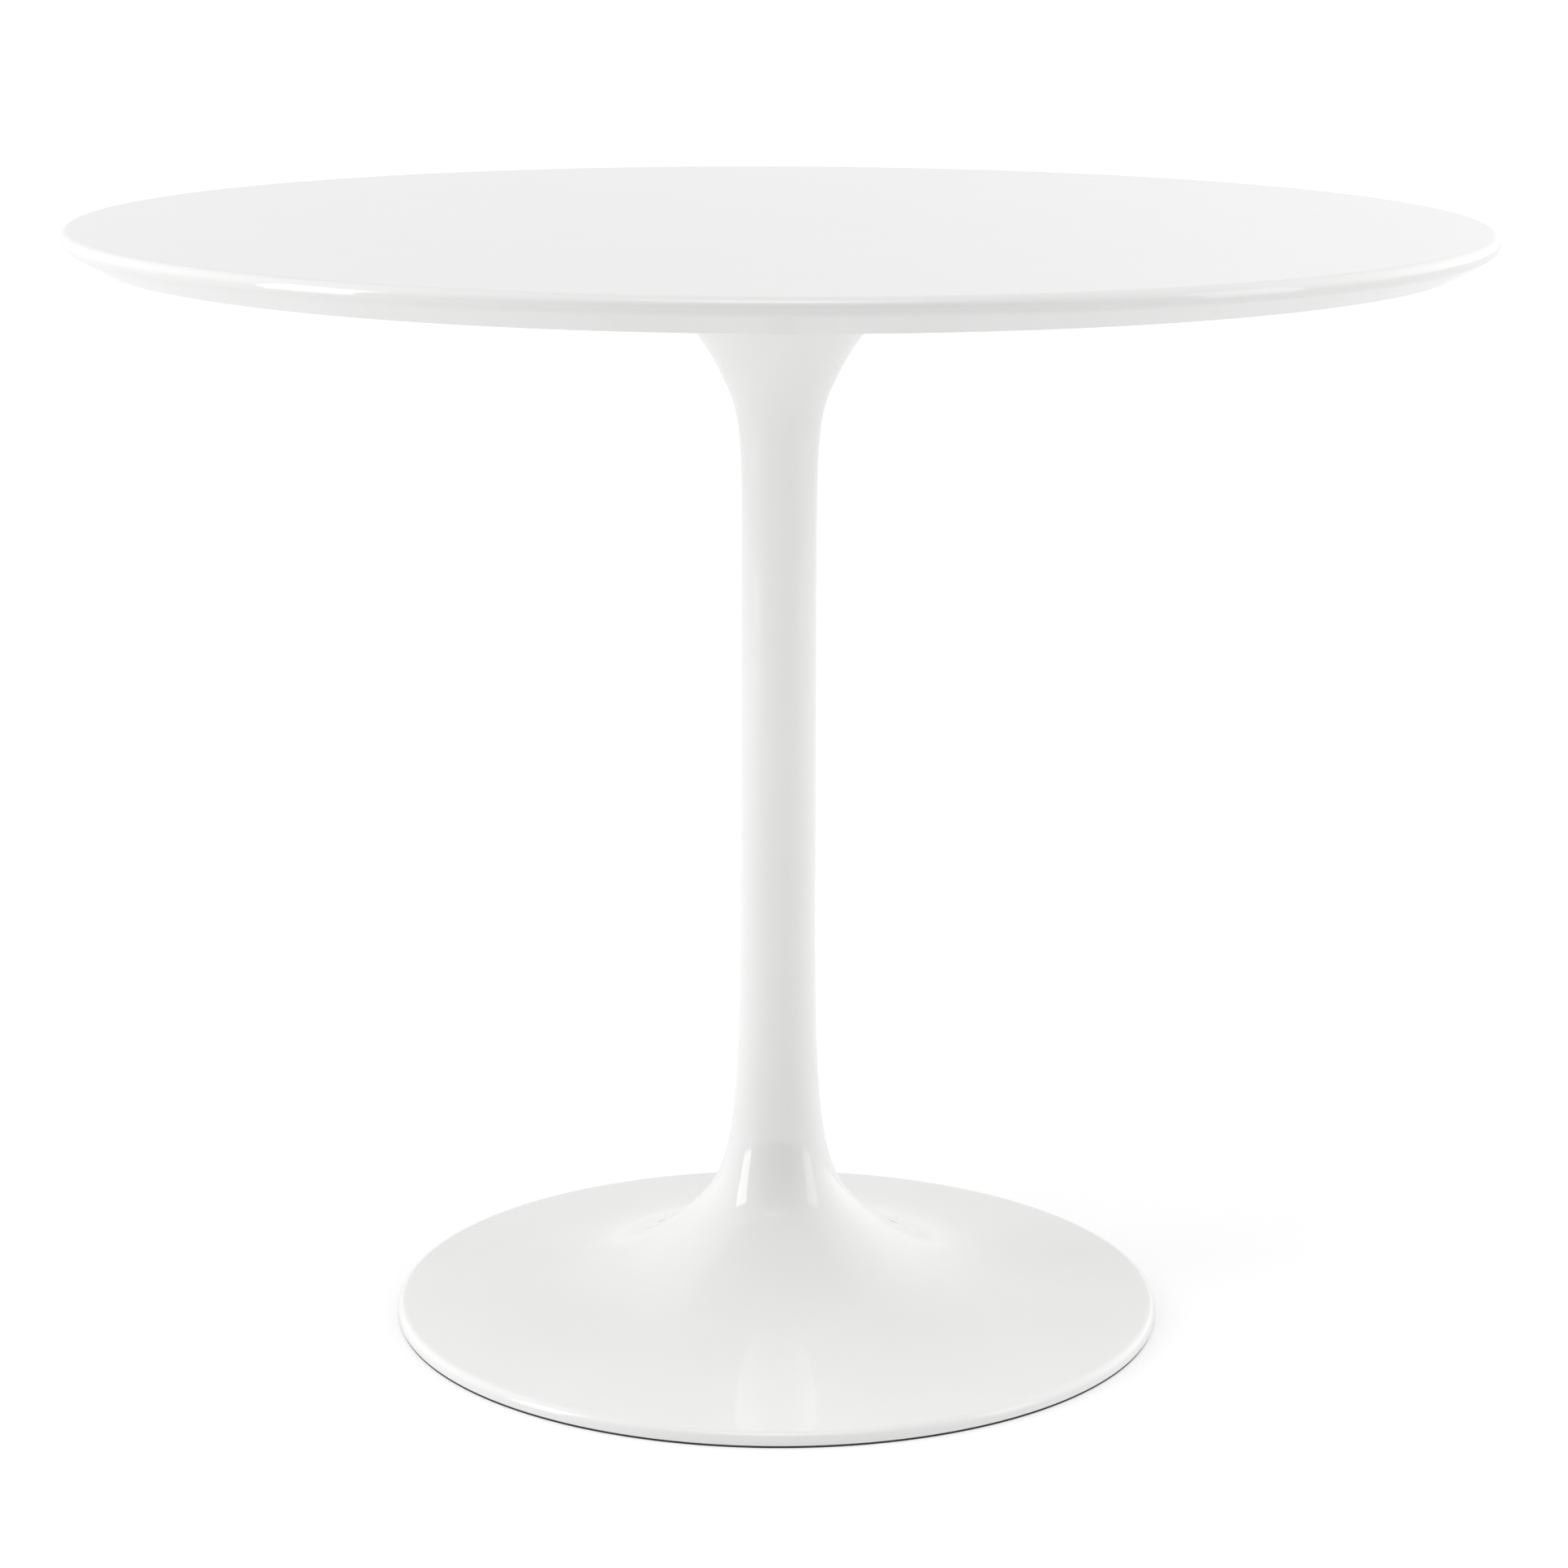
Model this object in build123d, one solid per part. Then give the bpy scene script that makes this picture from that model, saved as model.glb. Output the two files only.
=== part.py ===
from build123d import *
import math
import os

# A round pedestal table. A lacquered fibreboard disc is screwed to a steel plate, and a tie rod down the
# hollow stem clamps that plate, the one-piece trumpet pedestal and a cast iron weight in its foot together.
# Millimetres, +Z up, origin on the floor under the centre of the stem.

# Overall sizes
table_height = 736.6
top_diameter = 914.4
base_diameter = 515.0

# Table top: a soft nose above, a reverse bevel below
top_thickness = 22.0
nose_radius = 6.0
bevel_angle = 30.0
insert_hole_depth = 14.0

# Pedestal shell: sheet steel, welded and ground to one piece
shell_wall = 2.5
stem_radius = 24.9
waist_height = 370.0
rim_height = 10.5
rim_round = 5.5
rim_edge_round = 0.9
foot_knee_radius = 62.0
foot_knee_height = 66.3
head_knee_radius = 39.2
head_knee_drop = 69.6
lip_radius = 120.0
lip_flat = 7.0
lip_edge_round = 1.0

# How steeply the pedestal's outline passes each place, in degrees: 0 runs inward, 90 straight up, 180 outward
rim_slope = 3.0
foot_knee_slope = 42.0
waist_slope = 90.0
head_knee_slope = 116.0
lip_slope = 180.0

# How far each place holds its slope before and after it, as a share of the straight distance to its neighbour
rim_hold = 0.525
foot_knee_hold_before = 0.328
foot_knee_hold_after = 0.160
waist_hold_before = 0.814
waist_hold_after = 0.893
head_knee_hold_before = 0.148
head_knee_hold_after = 0.240
lip_hold = 0.300

# Rubber floor ring under the pedestal's rim
ring_show = 1.4
ring_inset = 0.7
ring_foot_width = 8.0
ring_leg_width = 3.5
ring_leg_gap = 0.4

# Mounting plate and what is welded to it
plate_radius = 150.0
plate_thickness = 5.0
plate_chamfer = 0.8
locating_ring_wall = 4.0
locating_ring_height = 8.0
boss_radius = 17.0
boss_height = 22.0
weld_leg = 4.0

# Screws that hold the plate to the top
plate_screw_count = 8
plate_screw_circle = 135.0
plate_screw_radius = 3.0
plate_screw_length = 16.0
plate_screw_head_radius = 5.25
plate_screw_head_height = 3.3
plate_screw_socket = 4.0
plate_washer_radius = 6.0
plate_washer_thickness = 1.6
plate_spring_radius = 5.1
plate_spring_thickness = 1.6

# Threaded inserts in the top
insert_radius = 4.75
insert_length = 13.0
insert_flange_radius = 6.0
insert_flange_thickness = 1.0
insert_groove_depth = 0.5
insert_groove_width = 1.2
insert_groove_count = 3

# Tie rod, its nuts and washers
rod_radius = 6.0
rod_pitch = 1.75
rod_thread_depth = 0.9
rod_thread_turns = 20
rod_top_gap = 1.6
rod_stand_out = 2.5
rod_end_chamfer = 1.0
nut_across_flats = 18.0
nut_height = 10.8
lock_nut_height = 6.0
rod_washer_radius = 18.5
rod_washer_thickness = 3.0
rod_spring_radius = 10.5
rod_spring_thickness = 2.5
spring_slit = 1.6

# Cast iron weight in the foot, and the steel ring it bears on
weight_ledge = 2.0
weight_base_height = 6.0
weight_rim_height = 8.0
weight_shoulder_radius = 123.0
weight_slope_radius = 98.0
weight_slope_height = 18.0
weight_hub_radius = 34.0
weight_hub_height = 28.0
weight_recess_radius = 27.0
weight_recess_height = 20.0
seat_ring_radius = 134.0
seat_ring_wall = 5.0

# Bottom cover and its screws
cover_gap = 1.8
cover_thickness = 2.0
cover_chamfer = 0.6
cover_screw_count = 6
cover_screw_circle = 110.0
cover_screw_radius = 2.5
cover_screw_length = 10.0
cover_screw_head_radius = 4.75
cover_screw_head_height = 2.4
cover_screw_hole_depth = 10.0
cover_screw_socket = 3.0

# Button heads, as shares of the screw's own radius, head radius or head height
screw_tip_share = 0.2
head_side_share = 0.2
head_crown = (0.86, 0.66)
head_face_share = 0.55
socket_depth_share = 0.55

# Standard angles and thread shape
nut_corner_angle = 30.0
slit_angle = 35.0
thread_flank_start = 0.2
thread_root = 0.6

# Fits
thread_clearance = 0.05
screw_hole_clearance = 0.4
rod_hole_clearance = 0.5
washer_clearance = 0.3
locating_clearance = 0.5
weight_hole_clearance = 1.0

# Places that follow from the sizes
top_radius = top_diameter / 2
base_radius = base_diameter / 2
underside = table_height - top_thickness
plate_bottom = underside - plate_thickness
screw_head_top = plate_bottom - plate_washer_thickness - plate_spring_thickness
boss_bottom = plate_bottom - boss_height
weight_seat = weight_base_height + weight_rim_height
recess_roof = weight_base_height + weight_recess_height
nut_top = recess_roof - rod_washer_thickness - rod_spring_thickness
nut_bottom = nut_top - nut_height
rod_bottom = nut_bottom - rod_stand_out
rod_top = underside - rod_top_gap
cover_bottom = weight_base_height - cover_thickness
rod_bore = rod_radius + thread_clearance
rim_inside = base_radius - shell_wall
ring_outside = base_radius - ring_inset
ring_leg_top = rim_height - rim_round - ring_leg_gap
ring_foot_inside = ring_outside - ring_foot_width
cover_radius = ring_foot_inside - cover_gap
weight_radius = seat_ring_radius + weight_ledge
weight_rod_hole_radius = rod_radius + weight_hole_clearance


def at(radius, height):
    """A point of a turned piece's section."""
    return Vector(radius, 0, height)


rim_centre = at(base_radius - rim_round, rim_height - rim_round)


def turned(*edges):
    """The solid that a closed section makes when it is turned about the table's axis."""
    return revolve(make_face(edges), axis=Axis.Z)


def turned_outline(*points):
    """The solid of a section with straight sides."""
    return turned(*Polyline(*[at(*point) for point in points], close=True).edges())


def washer(outer, inner, bottom, thickness):
    """A flat ring, its lower face at bottom."""
    top = bottom + thickness
    return turned_outline((inner, bottom), (outer, bottom), (outer, top), (inner, top))


def spring_washer(outer, inner, bottom, thickness):
    """A split ring, its slit cut on the slant."""
    ring = washer(outer, inner, bottom, thickness)
    middle = ((outer + inner) / 2, 0, bottom + thickness / 2)
    slit = Pos(*middle) * Rot(slit_angle, 0, 0) * Box(2 * (outer - inner), spring_slit, 3 * thickness)
    return ring - slit


def hex_nut(across_flats, height, bore, bottom):
    """A nut with its corners turned off above and below."""
    corner = across_flats / math.sqrt(3)
    flat = across_flats / 2
    edge_drop = (corner - flat) * math.tan(math.radians(nut_corner_angle))
    blank = Pos(0, 0, bottom) * extrude(RegularPolygon(corner, 6), height)
    low, high = bottom, bottom + height
    turning = turned_outline(
        (0, low), (flat, low), (corner, low + edge_drop), (corner, high - edge_drop), (flat, high), (0, high)
    )
    hole = Pos(0, 0, bottom + height / 2) * Cylinder(bore, 2 * height)
    return (blank & turning) - hole


def button_screw(radius, length, head_radius, head_height, socket, head_top):
    """A button-head screw that points up, its head's bearing face at head_top."""
    shank_top = head_top + length
    tip = radius * screw_tip_share
    crown_start = at(head_radius, head_top - head_height * head_side_share)
    crown = at(head_radius * head_crown[0], head_top - head_height * head_crown[1])
    crown_end = at(head_radius * head_face_share, head_top - head_height)
    profile = [
        Line(at(0, shank_top), at(radius - tip, shank_top)),
        Line(at(radius - tip, shank_top), at(radius, shank_top - tip)),
        Line(at(radius, shank_top - tip), at(radius, head_top)),
        Line(at(radius, head_top), at(head_radius, head_top)),
        Line(at(head_radius, head_top), crown_start),
        ThreePointArc(crown_start, crown, crown_end),
        Line(crown_end, at(0, crown_end.Z)),
        Line(at(0, crown_end.Z), at(0, shank_top)),
    ]
    depth = head_height * socket_depth_share
    key = Pos(0, 0, crown_end.Z) * extrude(RegularPolygon(socket / math.sqrt(3), 6), depth)
    return turned(*profile) - key


def ring_of(piece, count, circle):
    """Copies of a piece on the axis, moved out to a circle and spread evenly round it."""
    step = 360 / count
    places = [Rot(0, 0, step * (index + 0.5)) * Pos(circle, 0, 0) for index in range(count)]
    return Compound(children=[place * piece for place in places])


def heading(slope):
    """The way the pedestal's outline runs: 0 degrees is inward, 90 straight up, 180 outward."""
    return Vector(-math.cos(math.radians(slope)), 0, math.sin(math.radians(slope)))


def outward(slope):
    """The outline's normal, away from the metal."""
    return Vector(math.sin(math.radians(slope)), 0, math.cos(math.radians(slope)))


def trumpet_curves(inset):
    """The pedestal's outline from rim to lip, inset into the metal, as curves of four control points each."""
    head_knee = at(head_knee_radius, plate_bottom - head_knee_drop)
    lip_start = at(lip_radius - lip_flat, plate_bottom - shell_wall)
    rim_top = rim_centre + outward(rim_slope) * rim_round
    foot_knee = at(foot_knee_radius, foot_knee_height)
    waist = at(stem_radius, waist_height)
    places = [
        (rim_top, rim_slope, 0, rim_hold),
        (foot_knee, foot_knee_slope, foot_knee_hold_before, foot_knee_hold_after),
        (waist, waist_slope, waist_hold_before, waist_hold_after),
        (head_knee, head_knee_slope, head_knee_hold_before, head_knee_hold_after),
        (lip_start, lip_slope, lip_hold, 0),
    ]
    curves = []
    for (start, start_slope, _, hold_after), (end, end_slope, hold_before, _) in zip(places, places[1:]):
        span = (end - start).length
        first = start - outward(start_slope) * inset
        last = end - outward(end_slope) * inset
        second = first + heading(start_slope) * span * hold_after
        third = last - heading(end_slope) * span * hold_before
        curves.append((first, second, third, last))
    return curves


def make_table_top():
    """The disc, with a blind hole for each threaded insert."""
    nose = at(top_radius - nose_radius, table_height - nose_radius)
    bevel_start = nose + outward(180 - bevel_angle) * nose_radius
    nose_middle = nose + outward(90 - bevel_angle / 2) * nose_radius
    bevel_run = (bevel_start.Z - underside) / math.tan(math.radians(bevel_angle))
    bevel_end = at(bevel_start.X - bevel_run, underside)
    nose_top = at(nose.X, table_height)
    disc = turned(
        Line(at(0, underside), bevel_end),
        Line(bevel_end, bevel_start),
        ThreePointArc(bevel_start, nose_middle, nose_top),
        Line(nose_top, at(0, table_height)),
        Line(at(0, table_height), at(0, underside)),
    )
    flange_top = underside + insert_flange_thickness
    hole = turned_outline(
        (0, underside),
        (insert_flange_radius, underside),
        (insert_flange_radius, flange_top),
        (insert_radius, flange_top),
        (insert_radius, underside + insert_hole_depth),
        (0, underside + insert_hole_depth),
    )
    return disc - ring_of(hole, plate_screw_count, plate_screw_circle)


def make_top_inserts():
    """Flanged inserts with barbed sides, open at both ends of their thread."""
    bore = plate_screw_radius + thread_clearance
    body_bottom = underside + insert_flange_thickness
    points = [(bore, underside), (insert_flange_radius, underside), (insert_flange_radius, body_bottom)]
    points.append((insert_radius, body_bottom))
    pitch = (insert_length - insert_flange_thickness) / (insert_groove_count + 1)
    for index in range(insert_groove_count):
        groove = body_bottom + pitch * (index + 1)
        points.append((insert_radius, groove - insert_groove_width / 2))
        points.append((insert_radius - insert_groove_depth, groove))
        points.append((insert_radius, groove + insert_groove_width / 2))
    points.append((insert_radius, underside + insert_length))
    points.append((bore, underside + insert_length))
    return ring_of(turned_outline(*points), plate_screw_count, plate_screw_circle)


def make_mounting_plate():
    """The steel disc between the top and the pedestal."""
    disc = turned_outline(
        (rod_radius + rod_hole_clearance, plate_bottom),
        (plate_radius - plate_chamfer, plate_bottom),
        (plate_radius, plate_bottom + plate_chamfer),
        (plate_radius, underside - plate_chamfer),
        (plate_radius - plate_chamfer, underside),
        (rod_radius + rod_hole_clearance, underside),
    )
    hole_radius = plate_screw_radius + screw_hole_clearance
    hole = Pos(0, 0, underside - plate_thickness / 2) * Cylinder(hole_radius, 2 * plate_thickness)
    return disc - ring_of(hole, plate_screw_count, plate_screw_circle)


def make_plate_screws():
    """Button-head screws from below, through the plate into the inserts."""
    screw = button_screw(
        plate_screw_radius,
        plate_screw_length,
        plate_screw_head_radius,
        plate_screw_head_height,
        plate_screw_socket,
        screw_head_top,
    )
    return ring_of(screw, plate_screw_count, plate_screw_circle)


def make_plate_spring_washers():
    """The split washer over each plate screw's head."""
    inner = plate_screw_radius + washer_clearance
    ring = spring_washer(plate_spring_radius, inner, screw_head_top, plate_spring_thickness)
    return ring_of(ring, plate_screw_count, plate_screw_circle)


def make_plate_flat_washers():
    """The flat washer between each split washer and the plate."""
    inner = plate_screw_radius + washer_clearance
    ring = washer(plate_washer_radius, inner, plate_bottom - plate_washer_thickness, plate_washer_thickness)
    return ring_of(ring, plate_screw_count, plate_screw_circle)


def make_locating_ring():
    """The rolled ring under the plate that centres the pedestal's mouth."""
    bottom = plate_bottom - locating_ring_height
    mouth = Bezier(*trumpet_curves(shell_wall)[-1]).intersect(Plane.XY.offset(bottom))
    radius = Vector(mouth[0]).X - locating_clearance
    return washer(radius, radius - locating_ring_wall, bottom, locating_ring_height)


def make_rod_boss():
    """The tapped boss that is welded under the plate, with its weld bead."""
    return turned_outline(
        (rod_bore, boss_bottom),
        (boss_radius - plate_chamfer, boss_bottom),
        (boss_radius, boss_bottom + plate_chamfer),
        (boss_radius, plate_bottom - weld_leg),
        (boss_radius + weld_leg, plate_bottom),
        (rod_bore, plate_bottom),
    )


def make_pedestal_shell():
    """The trumpet foot, the stem and the flared head, one sheet of the same wall throughout."""
    outer = trumpet_curves(0)
    inner = [tuple(reversed(curve)) for curve in reversed(trumpet_curves(shell_wall))]
    rim_turn = outward((90 + rim_slope) / 2)
    down_and_out = outward(135)
    edge_centre = at(base_radius - rim_edge_round, ring_show + rim_edge_round)
    edge_bottom = at(edge_centre.X, ring_show)
    edge_side = at(base_radius, edge_centre.Z)
    rim_side = at(base_radius, rim_centre.Z)
    rim_inner_side = at(rim_inside, rim_centre.Z)
    lip_centre = at(lip_radius - lip_edge_round, plate_bottom - shell_wall + lip_edge_round)
    lip_bottom = at(lip_centre.X, plate_bottom - shell_wall)
    lip_side = at(lip_radius, lip_centre.Z)
    outline = [
        Line(at(rim_inside, ring_show), edge_bottom),
        ThreePointArc(edge_bottom, edge_centre + down_and_out * rim_edge_round, edge_side),
        Line(edge_side, rim_side),
        ThreePointArc(rim_side, rim_centre + rim_turn * rim_round, outer[0][0]),
        *[Bezier(*curve) for curve in outer],
        Line(outer[-1][-1], lip_bottom),
        ThreePointArc(lip_bottom, lip_centre + down_and_out * lip_edge_round, lip_side),
        Line(lip_side, at(lip_radius, plate_bottom)),
        Line(at(lip_radius, plate_bottom), inner[0][0]),
        *[Bezier(*curve) for curve in inner],
        ThreePointArc(inner[-1][-1], rim_centre + rim_turn * (rim_round - shell_wall), rim_inner_side),
        Line(rim_inner_side, at(rim_inside, ring_show)),
    ]
    return turned(*outline)


def make_seat_ring():
    """The steel ring under the dish that the weight bears on, trimmed to the dish."""
    dish = trumpet_curves(shell_wall)[0]
    room = turned(
        Line(at(0, 0), at(dish[0].X, 0)),
        Line(at(dish[0].X, 0), dish[0]),
        Bezier(*dish),
        Line(dish[-1], at(0, dish[-1].Z)),
        Line(at(0, dish[-1].Z), at(0, 0)),
    )
    blank = washer(seat_ring_radius, seat_ring_radius - seat_ring_wall, weight_seat, foot_knee_height)
    return blank & room


def make_base_weight():
    """The iron weight: a flange under the seat ring, a sloped body and a hub recessed below for the nut."""
    body = turned_outline(
        (weight_rod_hole_radius, recess_roof),
        (weight_recess_radius, recess_roof),
        (weight_recess_radius, weight_base_height),
        (weight_radius, weight_base_height),
        (weight_radius, weight_seat),
        (weight_shoulder_radius, weight_seat),
        (weight_slope_radius, weight_base_height + weight_slope_height),
        (weight_hub_radius, weight_base_height + weight_hub_height),
        (weight_rod_hole_radius, weight_base_height + weight_hub_height),
    )
    bore = cover_screw_radius + thread_clearance
    hole = Pos(0, 0, weight_base_height) * Cylinder(bore, 2 * cover_screw_hole_depth)
    return body - ring_of(hole, cover_screw_count, cover_screw_circle)


def make_tie_rod():
    """The long rod, with ring-cut threads at both ends."""
    foot_start = rod_bottom + rod_end_chamfer
    points = [(0, rod_bottom), (rod_radius - rod_end_chamfer, rod_bottom), (rod_radius, foot_start)]
    top_start = rod_top - rod_end_chamfer - rod_thread_turns * rod_pitch
    for start in (foot_start, top_start):
        for turn in range(rod_thread_turns):
            low = start + turn * rod_pitch
            points.append((rod_radius, low + rod_pitch * thread_flank_start))
            points.append((rod_radius - rod_thread_depth, low + rod_pitch * thread_root))
            points.append((rod_radius, low + rod_pitch))
    points.append((rod_radius - rod_end_chamfer, rod_top))
    points.append((0, rod_top))
    return turned_outline(*points)


def make_rod_lock_nut():
    """The thin nut that locks the rod in its boss."""
    return hex_nut(nut_across_flats, lock_nut_height, rod_bore, boss_bottom - lock_nut_height)


def make_rod_nut():
    """The nut that pulls the whole pedestal together."""
    return hex_nut(nut_across_flats, nut_height, rod_bore, nut_bottom)


def make_rod_spring_washer():
    """The split washer over the rod's nut."""
    return spring_washer(rod_spring_radius, rod_radius + washer_clearance, nut_top, rod_spring_thickness)


def make_rod_flat_washer():
    """The wide washer under the weight's hub."""
    bottom = recess_roof - rod_washer_thickness
    return washer(rod_washer_radius, rod_radius + washer_clearance, bottom, rod_washer_thickness)


def make_floor_ring():
    """The rubber edging: a flat foot under the rim and a leg up its inside."""
    leg_inside = rim_inside - ring_leg_width
    return turned_outline(
        (ring_foot_inside, 0),
        (ring_outside, 0),
        (ring_outside, ring_show),
        (rim_inside, ring_show),
        (rim_inside, ring_leg_top),
        (leg_inside, ring_leg_top),
        (leg_inside, ring_show),
        (ring_foot_inside, ring_show),
    )


def make_bottom_cover():
    """The plain disc that closes the foot, screwed to the weight."""
    disc = turned_outline(
        (0, cover_bottom),
        (cover_radius - cover_chamfer, cover_bottom),
        (cover_radius, cover_bottom + cover_chamfer),
        (cover_radius, weight_base_height),
        (0, weight_base_height),
    )
    hole = Pos(0, 0, cover_bottom) * Cylinder(cover_screw_radius + screw_hole_clearance, 4 * cover_thickness)
    return disc - ring_of(hole, cover_screw_count, cover_screw_circle)


def make_cover_screws():
    """Button-head screws from below, through the cover into the weight."""
    screw = button_screw(
        cover_screw_radius,
        cover_screw_length,
        cover_screw_head_radius,
        cover_screw_head_height,
        cover_screw_socket,
        cover_bottom,
    )
    return ring_of(screw, cover_screw_count, cover_screw_circle)


sub_parts = {
    "table_top": make_table_top,
    "top_inserts": make_top_inserts,
    "mounting_plate": make_mounting_plate,
    "plate_screws": make_plate_screws,
    "plate_spring_washers": make_plate_spring_washers,
    "plate_flat_washers": make_plate_flat_washers,
    "locating_ring": make_locating_ring,
    "rod_boss": make_rod_boss,
    "pedestal_shell": make_pedestal_shell,
    "seat_ring": make_seat_ring,
    "base_weight": make_base_weight,
    "tie_rod": make_tie_rod,
    "rod_lock_nut": make_rod_lock_nut,
    "rod_nut": make_rod_nut,
    "rod_spring_washer": make_rod_spring_washer,
    "rod_flat_washer": make_rod_flat_washer,
    "floor_ring": make_floor_ring,
    "bottom_cover": make_bottom_cover,
    "cover_screws": make_cover_screws,
}

os.makedirs("parts", exist_ok=True)
for name, make in sub_parts.items():
    export_step(make(), os.path.join("parts", name + ".step"))
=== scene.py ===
import logging
import math
from dataclasses import dataclass, field
from enum import Enum
from typing import Iterable, Sequence

import bmesh
import bpy
from mathutils import Matrix, Vector


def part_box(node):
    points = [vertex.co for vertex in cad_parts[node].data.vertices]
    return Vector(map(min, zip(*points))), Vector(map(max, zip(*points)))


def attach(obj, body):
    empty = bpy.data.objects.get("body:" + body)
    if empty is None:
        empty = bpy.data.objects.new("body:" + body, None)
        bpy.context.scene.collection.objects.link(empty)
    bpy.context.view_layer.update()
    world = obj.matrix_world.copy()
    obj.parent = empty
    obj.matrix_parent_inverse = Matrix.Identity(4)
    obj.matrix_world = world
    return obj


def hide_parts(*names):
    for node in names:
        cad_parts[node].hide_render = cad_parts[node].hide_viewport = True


# A round pedestal table in gloss white: a thin lacquered disc on a trumpet foot of enamelled sheet steel.
# Metres, +Z up, origin on the floor under the centre of the stem.

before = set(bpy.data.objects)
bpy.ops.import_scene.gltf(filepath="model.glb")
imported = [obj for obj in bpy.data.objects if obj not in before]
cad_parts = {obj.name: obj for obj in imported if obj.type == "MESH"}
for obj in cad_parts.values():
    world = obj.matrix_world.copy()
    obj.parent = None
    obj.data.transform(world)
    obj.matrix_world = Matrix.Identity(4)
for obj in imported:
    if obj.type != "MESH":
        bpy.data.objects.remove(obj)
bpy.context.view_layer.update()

logging.basicConfig(level=logging.INFO, format="%(message)s")
log = logging.getLogger("pedestal_table")

MM = 0.001
# The part of a noise pattern's range, round its middle, that most of it lies in.
MIDDLE = (0.3, 0.7)
# Where a colour mix node keeps its amount, its two colours and its result.
MIX_AMOUNT, MIX_FIRST, MIX_SECOND, MIX_RESULT = 0, 6, 7, 2
# Points of a turned section that are nearer than this are one point.
TOUCHING = 1e-7
# The finishes of the top's faces and of the pedestal's, by material index.
LACQUERED, SATIN, CUT = range(3)
OUTSIDE, INSIDE = range(2)

Colour = tuple[float, float, float]
Point = tuple[float, float]
Profile = list[Point]


# ---------------------------------------------------------------------------------------------------
# Node and mesh helpers
# ---------------------------------------------------------------------------------------------------


class Nodes:
    """A node tree, with short calls that add and join its nodes."""

    def __init__(self, tree: bpy.types.NodeTree) -> None:
        """Empties the tree, ready for new nodes."""
        self.tree = tree
        self.tree.nodes.clear()

    def add(self, kind: str, settings: dict | None = None, **inputs: object) -> bpy.types.Node:
        """Adds one node.

        Args:
            kind: the node's type name.
            settings: the node's own settings, by attribute name.
            inputs: what goes into its sockets: a socket to join, or a plain value.

        Returns:
            The new node.
        """
        node = self.tree.nodes.new(kind)
        for key, value in (settings or {}).items():
            setattr(node, key, value)
        for key, value in inputs.items():
            self.feed(node, key.replace("_", " "), value)
        return node

    def feed(self, node: bpy.types.Node, socket: str | int, value: object) -> None:
        """Joins another socket to a node's input, or sets the input's own value."""
        target = node.inputs[socket]
        if isinstance(value, bpy.types.NodeSocket):
            self.tree.links.new(value, target)
        else:
            target.default_value = value

    def maths(self, operation: str, *values: object) -> bpy.types.NodeSocket:
        """The result of one sum on numbers, any of which may be a socket."""
        node = self.add("ShaderNodeMath", {"operation": operation})
        for index, value in enumerate(values):
            self.feed(node, index, value)
        return node.outputs["Value"]


class Wiring(Nodes):
    """One material's node tree, with a Principled shader and the patterns that drive it."""

    def __init__(self, name: str) -> None:
        """Starts a material with a Principled shader on its output.

        Args:
            name: the material's name.
        """
        self.material = bpy.data.materials.new(name)
        self.material.use_nodes = True
        super().__init__(self.material.node_tree)
        self.shader = self.add("ShaderNodeBsdfPrincipled")
        self.output = self.add("ShaderNodeOutputMaterial", Surface=self.shader.outputs["BSDF"])
        self.place = self.add("ShaderNodeTexCoord").outputs["Object"]

    def noise(self, size: float, detail: float = 2.0,
              stretch: Sequence[float] = (1, 1, 1)) -> bpy.types.NodeSocket:
        """A cloudy pattern.

        Args:
            size: the distance from one cloud to the next, in metres.
            detail: how many finer layers lie on it.
            stretch: how much finer it runs along each axis.

        Returns:
            The pattern's value, from 0 to 1.
        """
        mapping = self.add("ShaderNodeMapping", Vector=self.place, Scale=tuple(stretch))
        texture = self.add("ShaderNodeTexNoise", Vector=mapping.outputs["Vector"], Scale=1 / size,
                           Detail=detail)
        return texture.outputs["Fac"]

    def spread(self, value: bpy.types.NodeSocket, low: float, high: float,
               within: tuple[float, float] = MIDDLE) -> bpy.types.NodeSocket:
        """Draws out part of a value's range.

        Args:
            value: what varies.
            low: the result at the near end of the part.
            high: the result at its far end.
            within: the part of the value's range that is drawn out; by default a pattern's middle.

        Returns:
            The result.
        """
        node = self.add("ShaderNodeMapRange", Value=value, From_Min=within[0], From_Max=within[1],
                        To_Min=low, To_Max=high)
        return node.outputs["Result"]

    def tint(self, amount: object, first: object, second: object) -> bpy.types.NodeSocket:
        """A colour between two, each a colour or a socket, by amount from 0 to 1."""
        node = self.add("ShaderNodeMix", {"data_type": "RGBA"})
        self.feed(node, MIX_AMOUNT, amount)
        for index, value in ((MIX_FIRST, first), (MIX_SECOND, second)):
            self.feed(node, index, value if isinstance(value, bpy.types.NodeSocket) else (*value, 1))
        return node.outputs[MIX_RESULT]

    def relief(self, heights: Iterable[tuple[bpy.types.NodeSocket, float]]) -> None:
        """Gives the shader a surface relief.

        Args:
            heights: each pattern with its depth in metres, from the coarsest to the finest.
        """
        below = self.shader
        for pattern, depth in reversed(list(heights)):
            bump = self.add("ShaderNodeBump", Height=pattern, Distance=depth)
            self.feed(below, "Normal", bump.outputs["Normal"])
            below = bump


def shaded(colour: Colour, factor: float) -> Colour:
    """The same colour, lighter or darker by a factor."""
    return tuple(channel * factor for channel in colour)


def either_side(colour: Colour, drift: float) -> tuple[Colour, Colour]:
    """A slightly darker and a slightly lighter colour, by a share of it."""
    return shaded(colour, 1 - drift), shaded(colour, 1 + drift)


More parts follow.
